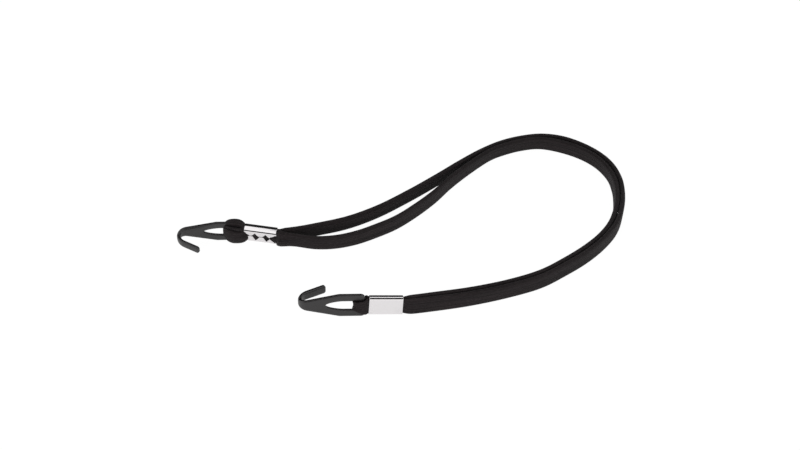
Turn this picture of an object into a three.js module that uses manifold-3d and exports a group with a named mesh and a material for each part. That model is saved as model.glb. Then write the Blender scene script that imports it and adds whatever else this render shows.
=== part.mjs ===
// A flat elastic luggage strap with a sheet-steel hook at each end, lying in a U on a table.
// Millimetres, +Z up. Both hooks point to -X and the closed side of the U is at +X.
// The origin is on the table, midway between the two hooked ends.
import * as THREE from 'three';
import { mergeVertices } from 'three/addons/utils/BufferGeometryUtils.js';
import Module from 'manifold-3d';

const wasm = await Module();
wasm.setup();

// Elastic band: a woven sleeve round a flat rubber core, standing on its edge
const bandWidth = 11.3;
const bandThickness = 3.2;
const bandEdge = 0.8;
const sleeveWall = 0.25;
const coreClearance = 0.08;
const strandSteps = 46;
const routeDivisions = 1600;

// Band where a ferrule squeezes it: the near ferrule, on two layers, is crimped flatter than the far one
const nearGripWidth = 10.9;
const nearGripThickness = 1.5;
const farGripWidth = 9.2;
const farGripThickness = 2.6;
const gripGap = 0.4;
const gripDepth = 4;
const mouthLead = 3;
const swellLength = 20;
const buttGap = 0.3;

// Crimped ferrule: a flattened sheet tube whose toothed jaws meet on the inner face
const ferruleLength = 21.3;
const ferruleWall = 0.5;
const ferruleCorner = 1.4;
const ferruleLeastCorner = 0.3;
const ferruleClearance = 0.3;
const seamGap = 0.4;
const jawTeeth = 3;
const notchWidth = 4.6;
const notchHeight = 6;

// Hook: a plate with an eye, rolled round at the nose into a narrow tail
const hookLength = 42.2;
const plateWidth = 15.9;
const plateThickness = 2.4;
const plateCorner = 3;
const plateEdge = 0.3;
const parallelLength = 16.4;
const bendWidth = 7.4;
const noseRadius = 3.75;
const noseAngle = THREE.MathUtils.degToRad(103);
const noseWidth = 4.4;
const curlRadius = 7.05;
const mouthAngle = THREE.MathUtils.degToRad(31);
const nearTailWidth = 5.6;
const nearTailLength = 13.7;
const farTailWidth = 4.9;
const farTailLength = 11.6;
const tailCorner = 1;
const bendSteps = 10;
const cornerShares = [0, 0.12, 0.45, 1];

// Eye of the hook: a pointed slot that leaves a flat bar at the end of the plate
const barWidth = 5;
const slotWidth = 6.6;
const slotLength = 20;
const slotPoint = 11;
const slotShoulderEase = 0.2;
const slotTipEase = 0.62;
const slotClearance = 0.8;
const endGap = 2;

// Loops of elastic round the bars: one band at the near hook, two nested bands at the far hook
const loopClearance = 0.9;
const neckClearance = 0.8;
const loopThickness = 1.8;
const loopCrest = 0.7;
const neckThickness = 1.5;
const neckLength = 2;
const farLegThickness = 1;
const farLegGap = 0.4;
const farNeckThickness = 0.8;
const farNeckGap = 0.5;
const farLayerGap = 0.6;
const farOuterThickness = 2.3;
const farOuterSlack = 1.4;
const farOuterShy = 1.1;

// Sizes of a ferrule that follow from the bands it squeezes
function crimp(width, thickness) {
  const pitch = thickness + gripGap;
  const boreHeight = width + 2 * ferruleClearance;
  const boreDepth = pitch + thickness + 2 * ferruleClearance;
  const height = boreHeight + 2 * ferruleWall;
  const depth = boreDepth + 2 * ferruleWall;
  return { width, thickness, pitch, boreHeight, boreDepth, height, depth };
}

// How the two ends lie on the table
const restGap = 0.1;
const nearEnd = {
  eye: { x: 48, y: -42.2 },
  ferruleHeading: THREE.MathUtils.degToRad(5),
  hookHeading: THREE.MathUtils.degToRad(1.2),
  lean: THREE.MathUtils.degToRad(-2),
  flip: 'y',
  crimp: crimp(nearGripWidth, nearGripThickness),
  tailWidth: nearTailWidth,
  tailLength: nearTailLength,
};
const farEnd = {
  eye: { x: -34.4, y: 38 },
  ferruleHeading: THREE.MathUtils.degToRad(-6),
  hookHeading: THREE.MathUtils.degToRad(1.6),
  lean: THREE.MathUtils.degToRad(11),
  flip: 'z',
  crimp: crimp(farGripWidth, farGripThickness),
  tailWidth: farTailWidth,
  tailLength: farTailLength,
};

// Routes of the two strands from the near ferrule to the far one: x, y and inward lean in degrees
const outerRoute = [
  [94, -37.8, 0], [117, -32.5, -3], [142, -23.9, -5], [162, -14.3, -5], [179, -0.6, -5],
  [193, 12.7, -5], [205.3, 28.2, -4], [214.2, 44, -4], [219.2, 61.3, -6], [221.7, 80, -6],
  [221.5, 97, -4], [217.9, 114.2, 2], [210.2, 128.6, 6], [197.6, 141.7, 9], [184.8, 149.6, 12],
  [171, 152.2, 12], [156.9, 149.5, 12], [142.6, 143.3, 13], [128.3, 132.8, 13], [114, 119.1, 13],
  [95.6, 99.5, 11], [76.5, 80.5, 11], [56.4, 62.7, 11], [36.7, 50.1, 11], [17, 42.5, 12],
  [4, 38.4, 12],
];
const innerRoute = [
  [91.9, -34, 0], [116.9, -28.2, -3], [141.8, -19.7, -5], [161.8, -9.6, -5], [178.7, 4.3, -5],
  [192.7, 18.2, -5], [203.1, 31.3, -4], [210.8, 45.7, -4], [216.4, 65.5, -6], [218.1, 80.2, -6],
  [218.1, 94, -4], [215.5, 109.2, 2], [206.9, 126.2, 6], [192.2, 139.6, 9], [171.2, 148.1, 12],
  [157, 145.8, 12], [142.7, 138.9, 12], [135, 133.4, 11], [120.4, 117, 9], [106.3, 98.5, 6],
  [95.3, 81.3, 4], [83, 65.4, 3], [69.4, 50.7, 4], [56.2, 40.9, 4], [43.2, 33.1, 5],
  [30.4, 28.5, 8], [17.3, 27.4, 11], [4, 30.3, 12],
];

// Sizes that follow
const hookMouthX = -barWidth / 2 - endGap;
const strapMouthX = hookMouthX - ferruleLength;
const buttX = strapMouthX + gripDepth;
const farOuterLegY = (farEnd.crimp.pitch + farGripThickness - farLegThickness) / 2;
const farInnerLegY = farOuterLegY - farLegThickness - farLegGap;
const farOuterWidth = plateWidth - 2 * farOuterShy;

const fabric = new THREE.MeshStandardMaterial({ color: 0x262324, roughness: 0.92, metalness: 0 });
const rubber = new THREE.MeshStandardMaterial({ color: 0x4a443c, roughness: 0.8, metalness: 0 });
const blackCoat = new THREE.MeshStandardMaterial({ color: 0x3a3638, roughness: 0.45, metalness: 0.2 });
const brightPlate = new THREE.MeshStandardMaterial({ color: 0xdcd9da, roughness: 0.25, metalness: 1 });

function smooth(value) {
  const t = Math.min(1, Math.max(0, value));
  return t * t * (3 - 2 * t);
}

function mesh(name, geometry, material) {
  const made = new THREE.Mesh(geometry, material);
  made.name = name;
  return made;
}

// Eight points round a flat section with its corners taken off, as thickness and width from the middle.
// A corner takes at most edgeShare of the half thickness, so that the flats never vanish.
const edgeShare = 0.8;
function flatSection(width, thickness, edge) {
  const a = thickness / 2;
  const b = width / 2;
  const r = Math.min(edge, edgeShare * a, edgeShare * b);
  return [
    [a, -b + r], [a, b - r], [a - r, b], [-a + r, b],
    [-a, b - r], [-a, -b + r], [-a + r, -b], [a - r, -b],
  ];
}

// Station of a sweep: a middle point, the direction of travel and the direction of the width
function ringAt(station, inset) {
  const across = new THREE.Vector3().crossVectors(station.up, station.along).normalize();
  const section = flatSection(station.width - 2 * inset, station.thickness - 2 * inset, station.edge);
  return section.map(([t, w]) => new THREE.Vector3()
    .copy(station.at)
    .addScaledVector(across, t)
    .addScaledVector(station.up, w));
}

// Closed skin over rings of equal count; inner rings make it a tube that is open at both ends
function skin(rings, innerRings) {
  const count = rings[0].length;
  const points = rings.flat();
  const faces = [];
  const quad = (a, b, c, d) => faces.push(a, b, c, a, c, d);
  const walls = (first, outward) => {
    for (let i = 0; i < rings.length - 1; i += 1) {
      for (let j = 0; j < count; j += 1) {
        const here = first + i * count;
        const a = here + j;
        const b = here + (j + 1) % count;
        if (outward) quad(a, b, b + count, a + count);
        else quad(a, a + count, b + count, b);
      }
    }
  };
  walls(0, true);
  const last = (rings.length - 1) * count;
  if (innerRings) {
    const inside = points.length;
    points.push(...innerRings.flat());
    walls(inside, false);
    for (let j = 0; j < count; j += 1) {
      const k = (j + 1) % count;
      quad(j, inside + j, inside + k, k);
      quad(last + j, last + k, inside + last + k, inside + last + j);
    }
  } else {
    for (let j = 1; j < count - 1; j += 1) {
      faces.push(0, j + 1, j);
      faces.push(last, last + j, last + j + 1);
    }
  }
  const geometry = new THREE.BufferGeometry().setFromPoints(points);
  geometry.setIndex(faces);
  geometry.computeVertexNormals();
  return geometry;
}

function solidOf(geometry) {
  const bare = geometry.clone();
  bare.deleteAttribute('normal');
  bare.deleteAttribute('uv');
  const merged = mergeVertices(bare);
  return new wasm.Manifold(new wasm.Mesh({
    numProp: 3,
    vertProperties: new Float32Array(merged.attributes.position.array),
    triVerts: new Uint32Array(merged.index.array),
  }));
}

function cut(geometry, tools) {
  const result = tools.reduce((solid, tool) => solid.subtract(solidOf(tool)), solidOf(geometry)).getMesh();
  const made = new THREE.BufferGeometry();
  made.setAttribute('position', new THREE.BufferAttribute(new Float32Array(result.vertProperties), 3));
  made.setIndex(new THREE.BufferAttribute(new Uint32Array(result.triVerts), 1));
  made.computeVertexNormals();
  return made;
}

// Prism of an outline drawn in X and Z, running through the plane Y = 0
function prismThroughPlate(shape, depth) {
  const prism = new THREE.ExtrudeGeometry(shape, { depth, bevelEnabled: false, curveSegments: 6 });
  return prism.rotateX(Math.PI / 2).translate(0, depth / 2, 0);
}

// Sleeve and core of a stretch of band
function bandMeshes(name, stations) {
  const coreInset = sleeveWall + coreClearance;
  const rings = (inset) => stations.map((station) => ringAt(station, inset));
  return [
    mesh(`${name}_sleeve`, skin(rings(0), rings(sleeveWall)), fabric),
    mesh(`${name}_core`, skin(rings(coreInset)), rubber),
  ];
}

// Hook frame: +X to the nose, +Y to the tail, Z across the plate, origin in the middle of the bar
function hookGeometry({ tailWidth, tailLength }) {
  const plateEnd = -barWidth / 2;
  const plateLength = hookLength - noseRadius - plateThickness;
  const arcs = [
    { radius: noseRadius + plateThickness / 2, angle: noseAngle },
    { radius: curlRadius + plateThickness / 2, angle: Math.PI - mouthAngle - noseAngle },
  ];
  const bendLength = arcs.reduce((length, arc) => length + arc.radius * arc.angle, 0);
  const noseMiddle = plateLength + bendLength / 2;
  const bendEnd = plateLength + bendLength;
  const total = bendEnd + tailLength;

  const widthAt = (s) => {
    if (s < plateCorner) {
      return plateWidth - 2 * plateCorner + 2 * Math.sqrt(plateCorner ** 2 - (plateCorner - s) ** 2);
    }
    if (s < parallelLength) return plateWidth;
    if (s < plateLength) {
      return THREE.MathUtils.mapLinear(s, parallelLength, plateLength, plateWidth, bendWidth);
    }
    if (s < noseMiddle) return THREE.MathUtils.mapLinear(s, plateLength, noseMiddle, bendWidth, noseWidth);
    if (s < bendEnd) return THREE.MathUtils.mapLinear(s, noseMiddle, bendEnd, noseWidth, tailWidth);
    return tailWidth - 2 * Math.max(0, tailCorner - (total - s));
  };
  const placeAt = (s) => {
    const at = new THREE.Vector3(plateEnd + Math.min(s, plateLength), 0, 0);
    let beyond = Math.max(0, s - plateLength);
    let heading = 0;
    for (const { radius, angle } of arcs) {
      const turn = Math.min(angle, beyond / radius);
      at.x += radius * (Math.sin(heading + turn) - Math.sin(heading));
      at.y += radius * (Math.cos(heading) - Math.cos(heading + turn));
      heading += turn;
      beyond -= turn * radius;
    }
    const along = new THREE.Vector3(Math.cos(heading), Math.sin(heading), 0);
    return { at: at.addScaledVector(along, beyond), along };
  };

  const stops = cornerShares.map((share) => share * plateCorner);
  stops.push(parallelLength / 2, parallelLength);
  stops.push((parallelLength + 2 * plateLength) / 3);
  for (let i = 0; i <= bendSteps; i += 1) stops.push(plateLength + (i / bendSteps) * bendLength);
  stops.push(total - tailLength / 2, total - tailCorner, total);

  const rings = stops.map((s) => ringAt({
    ...placeAt(s),
    up: new THREE.Vector3(0, 0, 1),
    width: widthAt(s),
    thickness: plateThickness,
    edge: plateEdge,
  }, 0));

  const slotStart = barWidth / 2;
  const slotTip = slotStart + slotLength;
  const shoulder = slotTip - slotPoint;
  const half = slotWidth / 2;
  const slot = new THREE.Shape();
  slot.moveTo(slotStart, -half);
  slot.lineTo(shoulder, -half);
  const eased = shoulder + slotShoulderEase * slotPoint;
  slot.bezierCurveTo(eased, -half, slotTip, -half * slotTipEase, slotTip, 0);
  slot.bezierCurveTo(slotTip, half * slotTipEase, eased, half, shoulder, half);
  slot.lineTo(slotStart, half);
  slot.closePath();
  return cut(skin(rings), [prismThroughPlate(slot, 2 * plateThickness)]);
}

function roundedRectangle(target, width, height, radius) {
  const a = width / 2;
  const b = height / 2;
  target.moveTo(-a + radius, -b);
  target.lineTo(a - radius, -b);
  target.absarc(a - radius, -b + radius, radius, -Math.PI / 2, 0);
  target.lineTo(a, b - radius);
  target.absarc(a - radius, b - radius, radius, 0, Math.PI / 2);
  target.lineTo(-a + radius, b);
  target.absarc(-a + radius, b - radius, radius, Math.PI / 2, Math.PI);
  target.lineTo(-a, -b + radius);
  target.absarc(-a + radius, -b + radius, radius, Math.PI, 1.5 * Math.PI);
  return target;
}

// Ferrule frame: that of the hook, so the ferrule lies on the -X side of the bar
function ferruleGeometry({ height, depth, boreHeight, boreDepth }) {
  const tube = roundedRectangle(new THREE.Shape(), depth, height, ferruleCorner);
  const boreCorner = Math.max(ferruleLeastCorner, ferruleCorner - ferruleWall);
  tube.holes.push(roundedRectangle(new THREE.Path(), boreDepth, boreHeight, boreCorner));
  const length = { depth: ferruleLength, bevelEnabled: false, curveSegments: 4 };
  const body = new THREE.ExtrudeGeometry(tube, length);
  const alongX = new THREE.Matrix4().makeBasis(
    new THREE.Vector3(0, 1, 0),
    new THREE.Vector3(0, 0, 1),
    new THREE.Vector3(1, 0, 0),
  );
  body.applyMatrix4(alongX).translate(strapMouthX, 0, 0);

  const wallY = (boreDepth + ferruleWall) / 2;
  const cutDepth = 2 * ferruleWall;
  const seam = new THREE.BoxGeometry(ferruleLength + 2 * cutDepth, cutDepth, seamGap);
  const tools = [seam.translate(strapMouthX + ferruleLength / 2, wallY, 0)];
  const notch = new THREE.Shape([
    new THREE.Vector2(-notchWidth / 2, 0),
    new THREE.Vector2(0, -notchHeight / 2),
    new THREE.Vector2(notchWidth / 2, 0),
    new THREE.Vector2(0, notchHeight / 2),
  ]);
  for (let i = 0; i <= jawTeeth; i += 1) {
    const x = strapMouthX + (i / jawTeeth) * ferruleLength;
    tools.push(prismThroughPlate(notch, cutDepth).translate(x, wallY, 0));
  }
  return cut(body, tools);
}

// Middle line of a loop: out of the ferrule, over the bar, round its edge and back on the other side.
// A layer gives the places of its inner face: over the bar, beside the end of the plate and past the bar.
function loopStations({ layer, legY, legThickness, legWidth, neck, thickness, widthAt }) {
  const overY = layer.overBar + thickness / 2;
  const besideY = layer.besidePlate + neck / 2;
  const frontX = layer.pastBar + thickness / 2;
  const turnX = frontX - overY;
  const legEnd = buttX + buttGap;
  const half = [
    [legEnd, legY],
    [(legEnd + hookMouthX) / 2, legY],
    [hookMouthX - endGap, legY],
    [hookMouthX, legY],
    [-barWidth / 2, besideY],
    [-loopCrest, overY],
    [turnX, overY],
    [turnX + overY * Math.SQRT1_2, overY * Math.SQRT1_2],
  ];
  const points = half.map(([x, y]) => new THREE.Vector3(x, -y, 0));
  points.push(new THREE.Vector3(frontX, 0, 0));
  points.push(...half.toReversed().map(([x, y]) => new THREE.Vector3(x, y, 0)));
  const route = new THREE.CatmullRomCurve3(points, false, 'centripetal');

  const stepsPerSpan = [1, 1, 1, 2, 1, 1, 2, 2];
  const shares = [];
  [...stepsPerSpan, ...stepsPerSpan.toReversed()].forEach((steps, span) => {
    for (let i = 0; i < steps; i += 1) shares.push((span + i / steps) / (points.length - 1));
  });
  shares.push(1);
  return shares.map((share) => {
    const at = route.getPoint(share);
    const gripped = smooth((hookMouthX + neckLength / 2 - at.x) / neckLength);
    const overBar = smooth(1 + 2 * at.x / barWidth);
    const free = THREE.MathUtils.lerp(neck, thickness, overBar);
    return {
      at,
      along: route.getTangent(share),
      up: new THREE.Vector3(0, 0, 1),
      width: THREE.MathUtils.lerp(widthAt(at), legWidth, gripped),
      thickness: THREE.MathUtils.lerp(free, legThickness, gripped),
      edge: bandEdge,
    };
  });
}

const gatheredWidth = slotWidth - 2 * slotClearance;
const firstLayer = {
  overBar: plateThickness / 2 + loopClearance,
  besidePlate: plateThickness / 2 + neckClearance,
  pastBar: barWidth / 2 + loopClearance,
};
const secondLayer = {
  overBar: firstLayer.overBar + loopThickness + farLayerGap,
  besidePlate: firstLayer.besidePlate + farNeckThickness + farNeckGap,
  pastBar: firstLayer.pastBar + loopThickness + farLayerGap + farOuterSlack,
};

// Band next to the bar: gathered to the width of the eye and spreading towards the ferrule
function firstLoop(legWidth, legY, legThickness, neck) {
  const spread = (x) => smooth((barWidth / 2 - x) / (barWidth + endGap));
  return loopStations({
    layer: firstLayer,
    legY,
    legThickness,
    legWidth,
    neck,
    thickness: loopThickness,
    widthAt: (at) => THREE.MathUtils.lerp(gatheredWidth, legWidth, spread(at.x)),
  });
}

// Band over the first one: pinched in the eye and swelling out over the plate
function secondLoop(legWidth, legY, legThickness, neck) {
  const overY = secondLayer.overBar + farOuterThickness / 2;
  const clearY = firstLayer.overBar + farOuterThickness / 2;
  const widthAt = (at) => {
    const swell = smooth((at.x - hookMouthX) / (barWidth / 2 - hookMouthX));
    const overPlate = THREE.MathUtils.lerp(legWidth, farOuterWidth, swell);
    if (at.x < barWidth / 2) return overPlate;
    const clear = smooth((Math.abs(at.y) - clearY) / (overY - clearY));
    return THREE.MathUtils.lerp(gatheredWidth, overPlate, clear);
  };
  const thickness = farOuterThickness;
  return loopStations({ layer: secondLayer, legY, legThickness, legWidth, neck, thickness, widthAt });
}

// Groups that carry the hook and the ferrule of one end, both turned about the middle of the bar
function endGroups(end) {
  const lean = Math.abs(end.lean);
  const eyeHeight = restGap + (plateWidth / 2) * Math.cos(lean) + (plateThickness / 2) * Math.sin(lean);
  const mouthHeight = restGap + ferruleCorner
    + (end.crimp.height / 2 - ferruleCorner) * Math.cos(lean)
    + (end.crimp.depth / 2 - ferruleCorner) * Math.sin(lean);
  const ferrulePitch = Math.asin((eyeHeight - mouthHeight) / Math.abs(strapMouthX));
  const place = (heading, pitch) => {
    const outer = new THREE.Group();
    outer.position.set(end.eye.x, end.eye.y, eyeHeight);
    outer.rotation.set(end.lean, pitch, heading, 'ZYX');
    const facing = new THREE.Group();
    facing.rotation[end.flip] = Math.PI;
    outer.add(facing);
    outer.updateMatrixWorld(true);
    return { outer, facing };
  };
  return {
    hook: place(end.hookHeading, 0),
    ferrule: place(end.ferruleHeading, ferrulePitch),
    pitch: end.crimp.pitch,
  };
}

// Height of the middle of a band that stands on its edge with a lean
function bandHeight(lean) {
  const tilt = Math.abs(lean);
  return restGap + (bandWidth / 2) * Math.cos(tilt) + (bandThickness / 2) * Math.sin(tilt);
}

// Strand from the near ferrule to the far one; side is +1 on the inside of the U
function strandStations(route, side, near, far) {
  const inFerrule = ({ ferrule, pitch }, x) => new THREE.Vector3(x, side * pitch / 2, 0)
    .applyMatrix4(ferrule.facing.matrixWorld);
  const ends = [buttX, strapMouthX, strapMouthX - mouthLead];
  const points = [
    ...ends.map((x) => inFerrule(near, x)),
    ...route.map(([x, y, lean]) => new THREE.Vector3(x, y, bandHeight(THREE.MathUtils.degToRad(lean)))),
    ...ends.toReversed().map((x) => inFerrule(far, x)),
  ];
  const endLean = (end, sign) => sign * THREE.MathUtils.radToDeg(end.lean);
  const leans = [
    ...ends.map(() => endLean(nearEnd, -1)),
    ...route.map(([, , lean]) => lean),
    ...ends.map(() => endLean(farEnd, 1)),
  ];
  const curve = new THREE.CatmullRomCurve3(points, false, 'centripetal');
  curve.arcLengthDivisions = routeDivisions;
  const length = curve.getLength();

  const stops = [0, gripDepth, gripDepth + swellLength / 2];
  const free = length - 2 * (gripDepth + swellLength);
  for (let i = 0; i <= strandSteps; i += 1) stops.push(gripDepth + swellLength + (i / strandSteps) * free);
  stops.push(length - gripDepth - swellLength / 2, length - gripDepth, length);

  return stops.map((stop) => {
    const u = Math.min(1, stop / length);
    const at = curve.getPointAt(u);
    const along = curve.getTangentAt(u);
    const place = curve.getUtoTmapping(u) * (points.length - 1);
    const before = Math.min(points.length - 2, Math.floor(place));
    const lean = THREE.MathUtils.degToRad(
      THREE.MathUtils.lerp(leans[before], leans[before + 1], place - before),
    );
    const upright = new THREE.Vector3(0, 0, 1).addScaledVector(along, -along.z).normalize();
    const inward = new THREE.Vector3().crossVectors(upright, along);
    const up = upright.multiplyScalar(Math.cos(lean)).addScaledVector(inward, Math.sin(lean));
    const swell = smooth((Math.min(stop, length - stop) - gripDepth) / swellLength);
    const grip = stop < length / 2 ? nearEnd.crimp : farEnd.crimp;
    return {
      at,
      along,
      up,
      width: THREE.MathUtils.lerp(grip.width, bandWidth, swell),
      thickness: THREE.MathUtils.lerp(grip.thickness, bandThickness, swell),
      edge: bandEdge,
    };
  });
}

const strap = new THREE.Group();
const near = endGroups(nearEnd);
const far = endGroups(farEnd);

near.hook.facing.add(mesh('near_hook', hookGeometry(nearEnd), blackCoat));
near.ferrule.facing.add(
  mesh('near_ferrule', ferruleGeometry(nearEnd.crimp), brightPlate),
  ...bandMeshes(
    'near_loop',
    firstLoop(nearGripWidth, nearEnd.crimp.pitch / 2, nearGripThickness, neckThickness),
  ),
);
far.hook.facing.add(mesh('far_hook', hookGeometry(farEnd), blackCoat));
far.ferrule.facing.add(
  mesh('far_ferrule', ferruleGeometry(farEnd.crimp), brightPlate),
  ...bandMeshes('far_inner_loop', firstLoop(farGripWidth, farInnerLegY, farLegThickness, farNeckThickness)),
  ...bandMeshes('far_outer_loop', secondLoop(farGripWidth, farOuterLegY, farLegThickness, farNeckThickness)),
);
strap.add(near.hook.outer, near.ferrule.outer, far.hook.outer, far.ferrule.outer);
strap.add(
  ...bandMeshes('outer_strand', strandStations(outerRoute, -1, near, far)),
  ...bandMeshes('inner_strand', strandStations(innerRoute, 1, near, far)),
);

export default strap;
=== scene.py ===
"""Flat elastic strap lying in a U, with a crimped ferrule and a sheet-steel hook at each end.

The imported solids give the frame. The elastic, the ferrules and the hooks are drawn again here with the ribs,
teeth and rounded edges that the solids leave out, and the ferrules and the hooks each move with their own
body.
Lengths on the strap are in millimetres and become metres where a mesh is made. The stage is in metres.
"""
import math

import bmesh
import bpy
from mathutils import Matrix, Vector


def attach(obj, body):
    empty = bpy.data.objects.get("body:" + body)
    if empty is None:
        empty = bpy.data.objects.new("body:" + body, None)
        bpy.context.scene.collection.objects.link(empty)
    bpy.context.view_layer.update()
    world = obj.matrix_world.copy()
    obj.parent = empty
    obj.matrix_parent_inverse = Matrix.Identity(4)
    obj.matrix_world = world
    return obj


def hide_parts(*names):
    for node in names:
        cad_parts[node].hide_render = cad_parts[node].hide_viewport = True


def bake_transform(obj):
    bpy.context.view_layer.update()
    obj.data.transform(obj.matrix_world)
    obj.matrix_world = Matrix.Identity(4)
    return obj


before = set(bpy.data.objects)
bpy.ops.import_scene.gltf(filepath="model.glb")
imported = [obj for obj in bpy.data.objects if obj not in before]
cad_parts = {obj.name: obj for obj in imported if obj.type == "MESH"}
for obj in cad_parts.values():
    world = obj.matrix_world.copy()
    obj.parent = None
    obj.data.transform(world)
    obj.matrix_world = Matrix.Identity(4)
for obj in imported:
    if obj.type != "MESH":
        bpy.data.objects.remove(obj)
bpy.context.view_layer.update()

MM = 0.001

# Camera of the photo, in metres: what it looks at, how far off and how high it stands, its lens and sensor
CAMERA_AIM = Vector((0.072, 0.056, 0))
CAMERA_DISTANCE = 1.3
CAMERA_HEIGHT = math.radians(35)
CAMERA_LENS = 87.75
CAMERA_SENSOR = 36


def put_in_scene(name, data):
    """New object of a mesh, lamp or camera, linked to the scene."""
    made = bpy.data.objects.new(name, data)
    bpy.context.scene.collection.objects.link(made)
    return made


def add_camera():
    """Camera above the table, looking along +Y."""
    camera = put_in_scene("photo_camera", bpy.data.cameras.new("photo_camera"))
    camera.data.sensor_width = CAMERA_SENSOR
    camera.data.lens = CAMERA_LENS
    away = Vector((0, -math.cos(CAMERA_HEIGHT), math.sin(CAMERA_HEIGHT)))
    camera.location = CAMERA_AIM + CAMERA_DISTANCE * away
    camera.rotation_euler = (math.pi / 2 - CAMERA_HEIGHT, 0, 0)
    bpy.context.scene.camera = camera


add_camera()

# Elastic: a flat band on edge. Its cloth stands proud of the solid by the loft on each face, and its core has
# a share of the cloth's section
BAND_WIDTH = 11.3
BAND_THICKNESS = 3.2
CLOTH_LOFT = 0.14
CORE_SHARE = 0.8
# Section of the band: ribs, points in each, two more points at each edge, and how square it is
RIBS = 8
RIB_DEPTH = 0.13
RIB_POINTS = 5
EDGE_SHARES = (0.004, 0.012)
FULLNESS_POWER = 6
FULLNESS_ROOT = 2.1
# Steps between sections: along a strand, close ones, how long the close ones go on. Then the steps of the
# curve between two places of a route, and the fewest steps of any curve
STATION_STEP = 1.5
FINE_STEP = 0.4
FINE_LENGTH = 10
CURVE_STEPS = 24
FEWEST_STEPS = 4
# A strand at its ferrule: how deep it is gripped, where and how far it has spread, and where it is full
GRIP_DEPTH = 4
MOUTH_LEAD = 3
MOUTH_SPREAD = 1.65
SWELL_LENGTH = 6
# Belly of the inner strand: its height at the near and the far end, then where it goes up and down again
BELLY = (1.2, 3.2)
BELLY_START = -2
BELLY_RISE = 5
BELLY_END = 14
BELLY_FADE = 12
# Lobe of cloth that the inner strand pushes back over the jaws at the far ferrule's mouth: its reach, its
# height over the jaws, and the share of its width that is flat
LOBE_LENGTH = 4.4
LOBE_RISE = 0.45
LOBE_FLAT = 0.8
# Outside the mouth the band opens to its width over a short run, and flares by a share that fades
LOBE_OPENING = 0.8
LOBE_FLARE = 0.3
LOBE_FADE = 9

# Ferrules: the corner is that of the solids, which sets how they rest on the table. The steps are those of a
# section up the jaw, round a corner and over the bowed top
FERRULE_LENGTH = 21.3
FERRULE_WALL = 0.5
FERRULE_CORNER = 1.4
RIM_ROUNDING = 0.22
JAW_STEPS = 6
CORNER_STEPS = 7
BOW_STEPS = 10
# Seam: diamond notches at these distances from the hook's mouth, skewed from jaw to jaw, and teeth that bite
# inwards over a run from the seam
SEAM_GAP = 0.4
NOTCHES = (0, 7.6, 14.7, FERRULE_LENGTH)
NOTCH_WIDTH = 4.6
NOTCH_HEIGHT = 6
NOTCH_SKEW = 0.4
TOOTH_BITE = 0.45
TOOTH_RUN = 2.4
# Sections round a notch, in halves of its width
NOTCH_SHARES = (-1, -0.5, 0, 0.5, 1, 1.27)
# Mouths and the strands' butt ends, along the ferrule from the middle of the hook's bar
HOOK_MOUTH_X = -4.5
STRAP_MOUTH_X = HOOK_MOUTH_X - FERRULE_LENGTH
BUTT_X = STRAP_MOUTH_X + GRIP_DEPTH

# Hooks: lengths along the flat blank start at the end of the plate. The sheet's edges round off over a run
# and a drop
BAR_WIDTH = 5
PLATE_WIDTH = 15.9
PLATE_THICKNESS = 2.4
PLATE_CORNER = 3
EDGE_RUN = 1.4
EDGE_DROP = 0.6
PARALLEL_LENGTH = 16.4
PLATE_LENGTH = 36.05
BEND_WIDTH = 7.4
NOSE_WIDTH = 4.4
# Radius of the sheet's middle and angle of the two bends, at the nose and in the tail
BENDS = [(4.95, math.radians(103)), (8.25, math.radians(46))]
BEND_LENGTH = sum(radius * angle for radius, angle in BENDS)
TAIL_CORNER = 1.5
# Slot: its pointed part is a curve, eased at the shoulder and at the tip
SLOT_WIDTH = 6.6
SLOT_LENGTH = 20
SLOT_POINT = 11
SLOT_SHOULDER_EASE = 0.2
SLOT_TIP_EASE = 0.62
# Steps of a rounded corner, of the blank's and the slot's sides, of the slot's point and of the bends
QUARTER_STEPS = 6
SIDE_STEPS = 70
SLOT_SIDE_STEPS = 6
SLOT_POINT_STEPS = 16
BEND_STEPS = 30

# Least gap between the table and what lies on it
REST_GAP = 0.1
# Each end: the middle of its bar, headings and lean in degrees, the turn that faces its tail into the U,
# the squeezed band's width, thickness and pitch, the ferrule's height and depth with the radius of its
# corners and the slope to which its narrow sides bow, and the hook's tail width and length
NEAR_END = {
    "eye": (48, -42.2), "ferrule_heading": 5, "hook_heading": 1.2, "lean": -2,
    "facing": Matrix.Rotation(math.pi, 4, "Y"), "grip": (10.9, 1.5), "pitch": 1.9,
    "ferrule": (12.5, 5), "corner": 0.9, "bow": 20, "tail": (5.6, 13.7),
}
FAR_END = {
    "eye": (-34.4, 38), "ferrule_heading": -6, "hook_heading": 1.6, "lean": 11,
    "facing": Matrix.Rotation(math.pi, 4, "Z"), "grip": (9.2, 2.6), "pitch": 3,
    "ferrule": (10.8, 7.2), "corner": 1.4, "bow": 25, "tail": (4.9, 11.6),
}

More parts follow.
